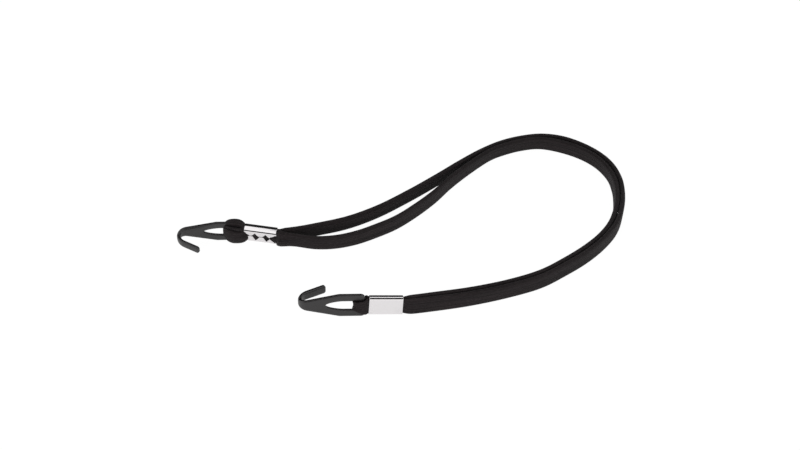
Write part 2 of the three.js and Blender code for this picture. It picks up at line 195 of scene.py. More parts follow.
# Places that each strand passes on the table, with its lean in degrees towards the inside of the U
OUTER_ROUTE = [
    (94, -37.8, 0), (117, -32.5, -3), (142, -23.9, -5), (162, -14.3, -5), (179, -0.6, -5),
    (193, 12.7, -5), (205.3, 28.2, -4), (214.2, 44, -4), (219.2, 61.3, -6), (221.7, 80, -6),
    (221.5, 97, -4), (217.9, 114.2, 2), (210.2, 128.6, 6), (197.6, 141.7, 9), (184.8, 149.6, 12),
    (171, 152.2, 12), (156.9, 149.5, 12), (142.6, 143.3, 13), (128.3, 132.8, 13), (114, 119.1, 13),
    (95.6, 99.5, 11), (76.5, 80.5, 11), (56.4, 62.7, 11), (36.7, 50.1, 11), (17, 42.5, 12),
    (4, 38.4, 12),
]
INNER_ROUTE = [
    (91.9, -34, 0), (116.9, -28.2, -3), (141.8, -19.7, -5), (161.8, -9.6, -5), (178.7, 4.3, -5),
    (192.7, 18.2, -5), (203.1, 31.3, -4), (210.8, 45.7, -4), (216.4, 65.5, -6), (218.1, 80.2, -6),
    (218.1, 94, -4), (215.5, 109.2, 2), (206.9, 126.2, 6), (192.2, 139.6, 9), (171.2, 148.1, 12),
    (157, 145.8, 12), (142.7, 138.9, 12), (135, 133.4, 11), (120.4, 117, 9), (106.3, 98.5, 6),
    (95.3, 81.3, 4), (83, 65.4, 3), (69.4, 50.7, 4), (56.2, 40.9, 4), (43.2, 33.1, 5),
    (30.4, 28.5, 8), (17.3, 27.4, 11), (4, 30.3, 12),
]

# Loops in the ferrule's axes: x, then the band's width and thickness there, how far its edges run ahead of
# its middle, and its shift up
NEAR_LOOP_SIZES = [
    (-22, 10.9, 1.5, 0, 0), (-5.6, 10.9, 1.5, 0, 0), (-4.5, 11.5, 1.6, 0, 0), (-2.8, 11.6, 1.8, 0, 0.1),
    (-1.2, 9.8, 1.9, 0, 0.6), (0.6, 8.8, 1.9, 0, 0.6), (3.2, 6.8, 2, 0.6, 0.2), (5, 6.4, 2, 1.2, 0),
]
FAR_INNER_SIZES = [
    (-22, 9.2, 1, 0, 0), (-5.6, 9.2, 1, 0, 0), (-2.5, 10, 1, 0, 0), (3, 6.2, 1.8, 0, 0), (5, 6.2, 1.8, 0, 0),
]
# A loop's ends stay this far from the strands' butt ends, it runs straight this far before the mouth, and it
# is level over the bar from this x on. Its round end passes one place on the diagonal
LOOP_END_GAP = 0.3
LOOP_LEAD = 2
LOOP_OVER_X = -0.7
DIAGONAL = 0.707

# Outer loop at the far hook, bunched up: x, half depth in front and behind, and its reach up and down
BUNDLE_STATIONS = [
    (-21.5, 2.9, 2.9, 4.4, 4.4), (-8, 2.9, 2.9, 4.4, 4.4), (-4.9, 2.9, 2.9, 4.6, 4.6),
    (-4.2, 4.2, 4, 6.2, 5.6), (-2, 6.4, 3.9, 8.9, 7.8), (1, 7.5, 4.6, 9.3, 8.5), (4, 7.3, 3.9, 9.2, 8.4),
    (6.6, 5.9, 2.8, 8.5, 7.5), (8.4, 4, 1.9, 6.8, 5.9), (9.5, 2.1, 1.4, 4.4, 4), (9.9, 0.6, 0.6, 2.6, 2.4),
]
# Its sections: few in the ferrule, close ones from just inside the mouth on. Its girth is the texture's
BUNDLE_XS = [-21.5, -15, *(-8.2 + FINE_STEP * i for i in range(45)), 9.7, 9.9]
BUNDLE_GIRTH = 40
BUNDLE_RIBS = 30
BUNDLE_RIB_POINTS = 6
BUNDLE_RIB_DEPTH = 0.04
BUNDLE_POINTS = BUNDLE_RIB_POINTS * BUNDLE_RIBS
BUNDLE_SQUARENESS = 2.5
# Ribs and folds come in over this run from the mouth, and go out over the same run before the end
PUFF_RUN = 4
PUFF_END = 10
# Two folds along the top: depths as shares of the section, turns and widths in degrees from the front
FOLD_WIDTH = 4.5
UPPER_FOLD_DEPTH = 0.24
UPPER_FOLD_TURN = 59
LOWER_FOLD_DEPTH = 0.26
LOWER_FOLD_TURNS = (32, 40)
LOWER_FOLD_START = -3
LOWER_FOLD_RUN = 8
# Over the bar the upper fold opens into a pocket: half its length, and what it adds to the fold
POCKET_LENGTH = 2.4
POCKET_DEPTH = 0.24
POCKET_TURN = 3
POCKET_WIDTH = 2.5
# The bunch pushes out through the open notch at the ferrule's mouth: reach, half height, rise over the face,
# and the share of the height that is flat
BEAK_LENGTH = 3.4
BEAK_HEIGHT = 2.9
BEAK_RISE = 0.5
BEAK_FLAT = 0.6
# Its lower front creeps back over the face of the ferrule: how far, about which turn and how widely, and
# where along the bunch this comes in and goes out
CREEP = 3.4
CREEP_TURN = -18
CREEP_SPREAD = 32
CREEP_START = -4.9
CREEP_RISE = 0.8
CREEP_END = 2
CREEP_FADE = 5

# Stage, in metres. The table glows for the camera and, less, for mirrors
TABLE_REACH = 6
TABLE_GLOW = 1.07
CAMERA_SHARE = 0.9
MIRROR_SHARE = 0.42
STRAP_MIDDLE = Vector((0.07, 0.05, 0))
# Planes of the dark cards behind, in front of and over the strap, and their ends
CARD_BACK = 0.3
CARD_FRONT = -0.5
CARD_TOP = 1.2
CARD_LEFT = -0.5
CARD_RIGHT = 0.5
# Panels of the upright cards: left, right, low and high. The steps set where the lines on the ferrules end
BACK_PANELS = [
    (CARD_LEFT, CARD_RIGHT, 0.001, 0.33), (CARD_LEFT, 0.045, 0.33, 0.42), (CARD_LEFT, -0.12, 0.42, 0.7),
    (0.01, 0.045, 0.42, 0.53), (0.01, CARD_RIGHT, 0.53, CARD_TOP),
]
FRONT_PANELS = [(CARD_LEFT, 0.045, 0.06, 1.1), (0.045, CARD_RIGHT, 0.6, 1.1)]
# The overhead card leaves out the far end, whose ferrule has no line from above
OVERHEAD_LEFT = 0.02


def smooth(share):
    """Soft step from 0 to 1 as share goes from 0 to 1."""
    share = min(max(share, 0), 1)
    return share * share * (3 - 2 * share)


def mix(a, b, share):
    """From a to b as share goes from 0 to 1."""
    return a + (b - a) * share


def bell(distance, width):
    """1 in the middle, falling softly to 0 some two widths away."""
    return math.exp(-(distance / width) ** 2)


def resting_height(width, thickness, rounding, lean):
    """Height of the middle of a leaning flat bar whose lowest corner just clears the table."""
    lean = math.radians(abs(lean))
    return (REST_GAP + rounding + (width / 2 - rounding) * math.cos(lean)
            + (thickness / 2 - rounding) * math.sin(lean))


def end_place(end, heading, pitch):
    """From the end's own axes to the table: +X to the nose, +Y to the tail, origin in the bar's middle."""
    height = resting_height(PLATE_WIDTH, PLATE_THICKNESS, 0, end["lean"])
    return (Matrix.Translation((*end["eye"], height)) @ Matrix.Rotation(math.radians(heading), 4, "Z")
            @ Matrix.Rotation(pitch, 4, "Y") @ Matrix.Rotation(math.radians(end["lean"]), 4, "X")
            @ end["facing"])


def hook_place(end):
    """The hook stands level on the table."""
    return end_place(end, end["hook_heading"], 0)


def ferrule_place(end):
    """The ferrule turns about the hook's bar and comes down to the table at its other mouth."""
    height = resting_height(PLATE_WIDTH, PLATE_THICKNESS, 0, end["lean"])
    mouth_height = resting_height(*end["ferrule"], FERRULE_CORNER, end["lean"])
    return end_place(end, end["ferrule_heading"], math.asin((height - mouth_height) / -STRAP_MOUTH_X))


def curve_through(points, leans, step, fine_length=0):
    """Places about one step apart on a smooth curve through the points, as (place, direction, lean, travel).

    They stand closer over the fine length before the end.
    """
    points = [2 * points[0] - points[1], *points, 2 * points[-1] - points[-2]]
    fine = []
    for i in range(len(points) - 3):
        a, b, c, d = points[i:i + 4]
        ab, bc, cd = ((q - p).length ** 0.5 for p, q in ((a, b), (b, c), (c, d)))
        leaving = ((b - a) / ab - (c - a) / (ab + bc) + (c - b) / bc) * bc
        arriving = ((c - b) / bc - (d - b) / (bc + cd) + (d - c) / cd) * bc
        for k in range(CURVE_STEPS):
            t = k / CURVE_STEPS
            place = (b * (2 * t ** 3 - 3 * t ** 2 + 1) + leaving * (t ** 3 - 2 * t ** 2 + t)
                     + c * (3 * t ** 2 - 2 * t ** 3) + arriving * (t ** 3 - t ** 2))
            fine.append((place, mix(leans[i], leans[i + 1], t)))
    fine.append((points[-2], leans[-1]))

    travel = [0]
    for (p, _), (q, _) in zip(fine, fine[1:]):
        travel.append(travel[-1] + (q - p).length)
    coarse = travel[-1] - fine_length
    count = max(FEWEST_STEPS, round(coarse / step))
    goals = [coarse * i / count for i in range(count + 1)]
    fine_count = round(fine_length / FINE_STEP)
    goals += [coarse + fine_length * (i + 1) / fine_count for i in range(fine_count)]
    even = []
    k = 0
    for goal in goals:
        while k < len(fine) - 2 and travel[k + 1] < goal:
            k += 1
        share = (goal - travel[k]) / (travel[k + 1] - travel[k])
        (low, low_lean), (high, high_lean) = fine[k:k + 2]
        even.append((low.lerp(high, share), mix(low_lean, high_lean, share), goal))

    stations = []
    for i, (place, lean, goal) in enumerate(even):
        before, after = even[max(i - 1, 0)][0], even[min(i + 1, len(even) - 1)][0]
        stations.append((place, (after - before).normalized(), lean, goal))
    return stations


def strand_stations(route, side):
    """The strand's way from its butt end in the near ferrule, round the U, to the one in the far ferrule."""
    near, far = ferrule_place(NEAR_END), ferrule_place(FAR_END)
    points, far_points = [], []
    for x, spread in ((BUTT_X, 0), (STRAP_MOUTH_X, 0), (STRAP_MOUTH_X - MOUTH_LEAD, MOUTH_SPREAD)):
        points.append(near @ Vector((x, side * max(NEAR_END["pitch"] / 2, spread), 0)))
        far_points.append(far @ Vector((x, side * max(FAR_END["pitch"] / 2, spread), 0)))
    leans = [-NEAR_END["lean"]] * len(points)
    for x, y, lean in route:
        points.append(Vector((x, y, resting_height(BAND_WIDTH, BAND_THICKNESS, 0, lean))))
        leans.append(lean)
    leans += [FAR_END["lean"]] * len(far_points)
    points += reversed(far_points)
    return curve_through(points, leans, STATION_STEP, FINE_LENGTH)


def fix_normals(made):
    """Turns every face to the outside."""
    skin = bmesh.new()
    skin.from_mesh(made.data)
    bmesh.ops.recalc_face_normals(skin, faces=skin.faces)
    skin.to_mesh(made.data)
    skin.free()


def mesh_object(name, vertices, faces, uvs, material):
    """Object from vertices in millimetres, with texture coordinates in millimetres on each face corner."""
    mesh = bpy.data.meshes.new(name)
    mesh.from_pydata([Vector(v) * MM for v in vertices], [], faces)
    layer = mesh.uv_layers.new(name="surface_mm")
    for polygon, corners in zip(mesh.polygons, uvs):
        for loop, uv in zip(polygon.loop_indices, corners):
            layer.data[loop].uv = uv
    mesh.shade_smooth()
    mesh.materials.append(material)
    made = put_in_scene(name, mesh)
    fix_normals(made)
    return made


def loft(name, rings, travel, around, material):
    """Closed skin through the rings, with flat ends. Travel and around place the texture along and across."""
    count = len(rings[0])
    vertices = [point for ring in rings for point in ring]
    faces, uvs = [], []
    for i in range(len(rings) - 1):
        for j in range(count):
            k = (j + 1) % count
            faces.append((i * count + j, i * count + k, (i + 1) * count + k, (i + 1) * count + j))
            low, high = around[j], around[j + 1]
            uvs.append([(travel[i], low), (travel[i], high), (travel[i + 1], high), (travel[i + 1], low)])
    last = (len(rings) - 1) * count
    for ring, at in (([*range(count)][::-1], 0), ([*range(last, last + count)], -1)):
        faces.append(ring)
        uvs.append([(travel[at], around[j % count]) for j in ring])
    return mesh_object(name, vertices, faces, uvs, material)


def hex_colour(code):
    """Linear colour of an sRGB hex code."""
    channels = [int(code[i:i + 2], 16) / 255 for i in (1, 3, 5)]
    return [*(c / 12.92 if c <= 0.04045 else ((c + 0.055) / 1.055) ** 2.4 for c in channels), 1]


def add_node(tree, kind, sockets=None, **properties):
    """Node with its properties set. A socket's value is a constant, or another node's output to link."""
    node = tree.nodes.new(kind)
    for name, value in properties.items():
        setattr(node, name, value)
    for name, value in (sockets or {}).items():
        if isinstance(value, bpy.types.NodeSocket):
            tree.links.new(value, node.inputs[name])
        else:
            node.inputs[name].default_value = value
    return node


def new_material(name):
    """Empty material, as its node tree, its surface coordinates in millimetres and its shader."""
    material = bpy.data.materials.new(name)
    material.use_nodes = True
    tree = material.node_tree
    tree.nodes.clear()
    shader = add_node(tree, "ShaderNodeBsdfPrincipled")
    add_node(tree, "ShaderNodeOutputMaterial", {"Surface": shader.outputs["BSDF"]})
    surface = add_node(tree, "ShaderNodeUVMap", uv_map="surface_mm").outputs["UV"]
    return material, tree, surface, shader


def woven_polyester():
    """Black woven sleeve: yarn floats in staggered rows give a dry, faintly grained near-black."""
    material, tree, surface, shader = new_material("woven_polyester")
    # A float is about 0.5 mm long in the cloth; drawn at 1.3 mm so that it shows at this picture's size
    yarn = add_node(tree, "ShaderNodeTexBrick", {
        "Vector": surface, "Color1": hex_colour("#252021"), "Color2": hex_colour("#1d1819"),
        "Mortar": hex_colour("#0f0c0d"), "Scale": 1, "Mortar Size": 0.06, "Mortar Smooth": 1,
        "Brick Width": 1.3, "Row Height": 0.6,
    })
    height = add_node(tree, "ShaderNodeBump", {
        "Height": yarn.outputs["Fac"], "Strength": 0.6, "Distance": 0.00012,
    }, invert=True)
    # Warp threads take the dye unevenly and show as faint lines along the band, some 2 mm apart
    long = add_node(tree, "ShaderNodeMapping", {"Vector": surface, "Scale": (0.012, 0.8, 1)})
    dye = add_node(tree, "ShaderNodeTexNoise", {"Vector": long.outputs["Vector"], "Scale": 1, "Detail": 2})
    level = add_node(tree, "ShaderNodeMapRange", {
        "Value": dye.outputs["Fac"], "From Min": 0.3, "From Max": 0.7, "To Min": 0.45, "To Max": 1.5,
    })
    shade = add_node(tree, "ShaderNodeVectorMath", {
        0: yarn.outputs["Color"], "Scale": level.outputs["Result"],
    }, operation="SCALE")
    tree.links.new(shade.outputs["Vector"], shader.inputs["Base Color"])
    tree.links.new(height.outputs["Normal"], shader.inputs["Normal"])
    shader.inputs["Roughness"].default_value = 0.78
    shader.inputs["Specular IOR Level"].default_value = 0.22
    shader.inputs["Sheen Weight"].default_value = 0.06
    shader.inputs["Sheen Roughness"].default_value = 0.4
    return material


def natural_rubber():
    """Cut rubber threads side by side in the core: matt brown-grey with darker lines between the threads."""
    material, tree, surface, shader = new_material("natural_rubber")
    # A thread is about 0.9 mm thick. At a scale of 1 the wave's angle grows by 20 over a millimetre
    thread = 0.9
    threads = add_node(tree, "ShaderNodeTexWave", {
        "Vector": surface, "Scale": 2 * math.pi / (20 * thread), "Distortion": 0.4, "Detail": 1,
        "Detail Scale": 0.3,
    }, wave_type="BANDS", bands_direction="Y")
    tone = add_node(tree, "ShaderNodeMix", {
        "Factor": threads.outputs["Fac"], "A": hex_colour("#362f29"), "B": hex_colour("#524b43"),
    }, data_type="RGBA")
    furrows = add_node(tree, "ShaderNodeBump", {
        "Height": threads.outputs["Fac"], "Strength": 0.6, "Distance": 0.0003,
    })
    tree.links.new(tone.outputs["Result"], shader.inputs["Base Color"])
    tree.links.new(furrows.outputs["Normal"], shader.inputs["Normal"])
    shader.inputs["Roughness"].default_value = 0.7
    return material


def black_powder_coat():
    """Satin powder coat: soft wide highlights broken by fine orange peel."""
    material, tree, _, shader = new_material("black_powder_coat")
    place = add_node(tree, "ShaderNodeTexCoord").outputs["Object"]
    # Orange peel has waves of about 0.4 mm; drawn at 0.8 mm so that it shows at this picture's size
    peel = add_node(tree, "ShaderNodeTexNoise", {"Vector": place, "Scale": 1200, "Detail": 2})
    cloud = add_node(tree, "ShaderNodeTexNoise", {"Vector": place, "Scale": 220, "Detail": 3})
    tone = add_node(tree, "ShaderNodeMix", {
        "Factor": cloud.outputs["Fac"], "A": hex_colour("#0f0c0d"), "B": hex_colour("#171314"),
    }, data_type="RGBA")
    gloss = add_node(tree, "ShaderNodeMapRange", {
        "Value": cloud.outputs["Fac"], "To Min": 0.3, "To Max": 0.42,
    })
    waves = add_node(tree, "ShaderNodeBump", {
        "Height": peel.outputs["Fac"], "Strength": 0.35, "Distance": 0.00008,
    })
    tree.links.new(tone.outputs["Result"], shader.inputs["Base Color"])
    tree.links.new(gloss.outputs["Result"], shader.inputs["Roughness"])
    tree.links.new(waves.outputs["Normal"], shader.inputs["Normal"])
    shader.inputs["Specular IOR Level"].default_value = 0.8
    return material


def bright_nickel():
    """Plated sheet: a mirror softened by the drawing lines of the press, along the ferrule."""
    material, tree, surface, shader = new_material("bright_nickel")
    # Drawing lines are hair-fine; drawn about 0.5 mm apart so that they show at this picture's size
    long = add_node(tree, "ShaderNodeMapping", {"Vector": surface, "Scale": (0.05, 2, 1)})
    lines = add_node(tree, "ShaderNodeTexNoise", {"Vector": long.outputs["Vector"], "Scale": 1, "Detail": 3})
    gloss = add_node(tree, "ShaderNodeMapRange", {
        "Value": lines.outputs["Fac"], "To Min": 0.05, "To Max": 0.12,
    })
    waves = add_node(tree, "ShaderNodeBump", {
        "Height": lines.outputs["Fac"], "Strength": 0.12, "Distance": 0.00004,
    })
    shader.inputs["Base Color"].default_value = hex_colour("#f7f4f5")
    shader.inputs["Metallic"].default_value = 1
    tree.links.new(gloss.outputs["Result"], shader.inputs["Roughness"])
    tree.links.new(waves.outputs["Normal"], shader.inputs["Normal"])
    return material


SLEEVE = woven_polyester()
RUBBER = natural_rubber()
COATING = black_powder_coat()
PLATING = bright_nickel()


def band_outline():
    """Half of the band's section, from edge to edge: share of the half width, fullness and rib groove."""
    points = RIB_POINTS * RIBS
    shares = {*EDGE_SHARES, *(1 - share for share in EDGE_SHARES), *(i / points for i in range(1, points))}
    outline = []
    for share in sorted(shares):
        w = 2 * share - 1
        full = (1 - abs(w) ** FULLNESS_POWER) ** (1 / FULLNESS_ROOT)
        groove = 1 - abs(math.sin(math.pi * RIBS * share))
        outline.append((w, full, groove))
    return outline


BAND_OUTLINE = band_outline()


def band_ring(at, across, up, width, thickness, bulge=None):
    """Section of the band standing on edge: width along up, thickness along across.

    Bulge moves a point of the +across face, given its share of the half width and its half thickness.
    """
    ring = [at - up * width / 2]
    for w, full, groove in BAND_OUTLINE:
        t = (thickness / 2 - RIB_DEPTH * groove) * full
        ring.append(at + up * (w * width / 2) + across * (bulge(w, t) if bulge else t))
    ring.append(at + up * width / 2)
    for w, full, groove in reversed(BAND_OUTLINE):
        t = (thickness / 2 - RIB_DEPTH * groove) * full
        ring.append(at + up * (w * width / 2) - across * t)
    return ring


def band_around(width):
    """Texture coordinate round the band's section, in millimetres."""
    shares = [-1, *(w for w, _, _ in BAND_OUTLINE)]
    face = [(w + 1) * width / 2 for w in shares]
    return face + [width + v for v in face] + [2 * width]


AROUND = band_around(BAND_WIDTH)


def strand_rings(stations, belly, share=1):
    """Rings of one strand. It swells where it leaves a ferrule and may belly out there, into the U."""
    length = stations[-1][3]
    rings = []
    for at, along, lean, travel in stations:
        end = FAR_END if travel > length / 2 else NEAR_END
        from_mouth = min(travel, length - travel) - GRIP_DEPTH
        swell = smooth(from_mouth / SWELL_LENGTH)
        upright = (Vector((0, 0, 1)) - along * along.z).normalized()
        inward = upright.cross(along)
        lean = math.radians(lean)
        up = upright * math.cos(lean) + inward * math.sin(lean)
        height = (belly[end is FAR_END] * smooth((from_mouth - BELLY_START) / BELLY_RISE)
                  * smooth((BELLY_END - from_mouth) / BELLY_FADE))
        lobe = 0
        if end is FAR_END and belly[1]:
            lobe = min(max(1 + from_mouth / LOBE_LENGTH, 0), 1)
        over_jaws = (end["ferrule"][1] - end["pitch"]) / 2 + LOBE_RISE

        def bulge(w, t):
            out = t + height * (1 - w * w)
            if lobe and from_mouth < 0:
                out = mix(over_jaws, out, smooth((abs(w) / lobe - LOBE_FLAT) / (1 - LOBE_FLAT)))
            return out * share

        width = mix(end["grip"][0], BAND_WIDTH, swell)
        if lobe and from_mouth > 0:
            flare = LOBE_FLARE * smooth(from_mouth) * smooth(1 - from_mouth / LOBE_FADE)
            width = max(BAND_WIDTH * smooth(from_mouth / LOBE_OPENING), width) * (1 + flare)
        thickness = mix(end["grip"][1], BAND_THICKNESS + 2 * CLOTH_LOFT, swell)
        ring = band_ring(at, up.cross(along), up, width * share, thickness * share, bulge)
        for point in ring:
            point.z = max(point.z, REST_GAP)
        rings.append(ring)
    return rings


def add_strand(name, stations, belly):
    """One strand of the elastic, as its sleeve and its core."""
    travel = [station[3] for station in stations]
    sleeve = loft(name + "_cloth", strand_rings(stations, belly), travel, AROUND, SLEEVE)
    core = loft(name + "_rubber", strand_rings(stations, (0, 0), CORE_SHARE), travel, AROUND, RUBBER)
    for piece, node in ((sleeve, name + "_sleeve"), (core, name + "_core")):
        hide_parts(node)
        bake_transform(piece)


add_strand("outer_strand", strand_stations(OUTER_ROUTE, -1), (0, 0))
add_strand("inner_strand", strand_stations(INNER_ROUTE, 1), BELLY)


def between(stations, x):
    """Sizes at x, on a smooth curve through the listed stations."""
    last = len(stations) - 1
    k = next((i for i in range(last) if x <= stations[i + 1][0]), last - 1)
    low, high = stations[k], stations[k + 1]
    before, after = stations[max(k - 1, 0)], stations[min(k + 2, last)]
    run = high[0] - low[0]
    share = min(max((x - low[0]) / run, 0), 1)
    sizes = []
    for b, a, c, d in zip(before[1:], low[1:], high[1:], after[1:]):
        start = (c - b) / (high[0] - before[0]) * run
        stop = (d - a) / (after[0] - low[0]) * run
        sizes.append(mix(a, c, smooth(share)) + (start * (1 - share) - stop * share) * share * (1 - share))
    return sizes


def loop_path(leg, beside, over, front):
    """Half of a loop's middle line, as x and y: out of the ferrule, over the bar and round its edge."""
    turn = front - over
    return [
        (BUTT_X + LOOP_END_GAP, leg), ((BUTT_X + HOOK_MOUTH_X) / 2, leg), (HOOK_MOUTH_X - LOOP_LEAD, leg),
        (HOOK_MOUTH_X, leg), (-BAR_WIDTH / 2, beside), (LOOP_OVER_X, over), (turn, over),
        (turn + over * DIAGONAL, over * DIAGONAL), (front, 0),
    ]


def loop_rings(place, half_path, sizes, share):
    """Rings of a flat loop round the bar, and their travel. The path is one half, which is mirrored."""
    points = [Vector((x, -y, 0)) for x, y in half_path]
    points += [Vector((x, y, 0)) for x, y in reversed(half_path[:-1])]
    stations = curve_through(points, [0] * len(points), FINE_STEP)
    rings = []
    for at, along, _, _ in stations:
        width, thickness, hollow, shift = between(sizes, at.x)
        up = Vector((0, 0, 1))
        ring = band_ring(at + up * shift, up.cross(along), up, width * share, thickness * share)
        for point in ring:
            point.x += hollow * (2 * (point.z - shift) / width) ** 2
        rings.append([place @ point for point in ring])
    return rings, [station[3] for station in stations]


# Layers of the elastic: ending of the piece's name, share of the section, material, node's ending and slot
LAYERS = (
    ("_cloth", 1, SLEEVE, "_sleeve", "black_woven_sleeve"),
    ("_rubber", CORE_SHARE, RUBBER, "_core", "rubber_core"),
)


def finish_loop(piece, node):
    """The piece stands for its node."""
    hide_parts(node)
    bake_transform(piece)


def add_loop(name, end, half_path, sizes):
    """A turned-back stretch of the elastic, as its sleeve and its core."""
    place = ferrule_place(end)
    for part, share, material, node, slot in LAYERS:
        rings, travel = loop_rings(place, half_path, sizes, share)
        piece = loft(name + part, rings, travel, AROUND, material)
        finish_loop(piece, name + node)


add_loop("near_loop", NEAR_END, loop_path(leg=NEAR_END["pitch"] / 2, beside=2.4, over=2.6, front=4.3),
         NEAR_LOOP_SIZES)
add_loop("far_inner_loop", FAR_END, loop_path(leg=0.9, beside=2.3, over=2.8, front=4.3),
         FAR_INNER_SIZES)


def folds(turn, x):
    """How far two lengthwise folds cut into the bunch: turn is in degrees, from the front over the top."""
    pocket = bell(x, POCKET_LENGTH)
    upper_turn = turn - UPPER_FOLD_TURN - POCKET_TURN * pocket
    upper = (UPPER_FOLD_DEPTH + POCKET_DEPTH * pocket) * bell(upper_turn, FOLD_WIDTH + POCKET_WIDTH * pocket)
    lower_turn = turn - mix(*LOWER_FOLD_TURNS, smooth((x - LOWER_FOLD_START) / LOWER_FOLD_RUN))
    return upper + LOWER_FOLD_DEPTH * bell(lower_turn, FOLD_WIDTH)


def bundle_ring(place, x, share):
    """Section of the bunched outer loop: a soft rounded block with lengthwise ribs and two folds on top."""
    front, behind, top, bottom = between(BUNDLE_STATIONS, x)
    puffed = smooth((x - HOOK_MOUTH_X) / PUFF_RUN) * smooth((PUFF_END - x) / PUFF_RUN)
    inside = (HOOK_MOUTH_X - x) / BEAK_LENGTH
    power = 2 / BUNDLE_SQUARENESS
    ring = []
    for i in range(BUNDLE_POINTS):
        angle = 2 * math.pi * i / BUNDLE_POINTS
        cos, sin = math.cos(angle), math.sin(angle)
        y = (front if cos > 0 else behind) * math.copysign(abs(cos) ** power, cos)
        z = (top if sin > 0 else bottom) * math.copysign(abs(sin) ** power, sin)
        groove = 1 - abs(math.sin(math.pi * i / BUNDLE_RIB_POINTS))
        keep = 1 - puffed * (folds(math.degrees(angle), x) + BUNDLE_RIB_DEPTH * groove / max(front, 1))
        y *= keep
        z *= keep
        if 0 <= inside < 1 and cos > 0:
            beak = FAR_END["ferrule"][1] / 2 + BEAK_RISE * (1 - inside)
            from_middle = abs(z) / (BEAK_HEIGHT * (1 - inside))
            y = mix(beak, y, smooth((from_middle - BEAK_FLAT) / (1 - BEAK_FLAT)))
        turn = math.remainder(math.degrees(angle) - CREEP_TURN, 360)
        back = (CREEP * bell(turn, CREEP_SPREAD) * smooth((x - CREEP_START) / CREEP_RISE)
                * smooth((CREEP_END - x) / CREEP_FADE))
        at = place @ Vector((x - back, y * share, z * share))
        at.z = max(at.z, REST_GAP)
        ring.append(at)
    return ring


def add_bundle(name):
    """Outer loop at the far hook, as its sleeve and its core."""
    place = ferrule_place(FAR_END)
    around = [BUNDLE_GIRTH * i / BUNDLE_POINTS for i in range(BUNDLE_POINTS + 1)]
    for part, share, material, node, slot in LAYERS:
        rings = [bundle_ring(place, x, share) for x in BUNDLE_XS]
        piece = loft(name + part, rings, BUNDLE_XS, around, material)
        finish_loop(piece, name + node)


add_bundle("far_outer_loop")


def ferrule_section(depth, height, corner, bow):
    """Upper half of the section as (y, z): up the jaw, round the corner, over the bowed top and down."""
    half = depth / 2
    slope = math.radians(bow)
    radius = (half - corner) / math.sin(slope) + corner
    corner_z = height / 2 - radius * (1 - math.cos(slope)) - corner * math.cos(slope)
    front = [(half, corner_z * i / JAW_STEPS) for i in range(JAW_STEPS)]
    for i in range(CORNER_STEPS + 1):
        angle = (math.pi / 2 - slope) * i / CORNER_STEPS
        front.append((half - corner + corner * math.cos(angle), corner_z + corner * math.sin(angle)))
    top = []
    for i in range(1, BOW_STEPS):
        angle = mix(slope, -slope, i / BOW_STEPS)
        top.append((radius * math.sin(angle), height / 2 - radius * (1 - math.cos(angle))))
    return front + top + [(-y, z) for y, z in reversed(front)]


def seam_edge(x, side):
    """Height of a jaw's edge at x: a thin seam with diamond notches, the upper jaw's a little ahead."""
    from_notch = min(abs(HOOK_MOUTH_X - x - notch + side * NOTCH_SKEW) for notch in NOTCHES)
    return SEAM_GAP / 2 + NOTCH_HEIGHT / 2 * max(0, 1 - from_notch / (NOTCH_WIDTH / 2))


def ferrule_xs():
    """Places of the ferrule's sections: both mouths, and the tips and slopes of each jaw's notches."""
    xs = {STRAP_MOUTH_X, HOOK_MOUTH_X}
    for notch in NOTCHES:
        for side in (-1, 1):
            for share in NOTCH_SHARES:
                x = round(HOOK_MOUTH_X - notch + side * NOTCH_SKEW + share * NOTCH_WIDTH / 2, 4)
                if STRAP_MOUTH_X < x < HOOK_MOUTH_X:
                    xs.add(x)
    return sorted(xs)


def ferrule_skin(section, x):
    """One face of the sheet at x, from the upper jaw's edge over the back to the lower jaw's edge."""
    halves = []
    for side in (1, -1):
        half = []
        for k, (y, z) in enumerate(section):
            if k <= JAW_STEPS:
                z = mix(seam_edge(x, side), section[JAW_STEPS][1], k / JAW_STEPS)
                y -= TOOTH_BITE * max(0, 1 - z / TOOTH_RUN) ** 2
            half.append((x, y, side * z))
        halves.append(half)
    return halves[0] + halves[1][-2::-1]


def round_edges(piece, size):
    """Rounds the sharp edges of a sheet piece and lets its flat faces keep their own direction."""
    bevel = piece.modifiers.new("rounded_edges", "BEVEL")
    bevel.width = size * MM
    bevel.segments = 3
    bevel.limit_method = "ANGLE"
    bevel.angle_limit = math.radians(50)
    weighted = piece.modifiers.new("flat_faces", "WEIGHTED_NORMAL")
    weighted.keep_sharp = True


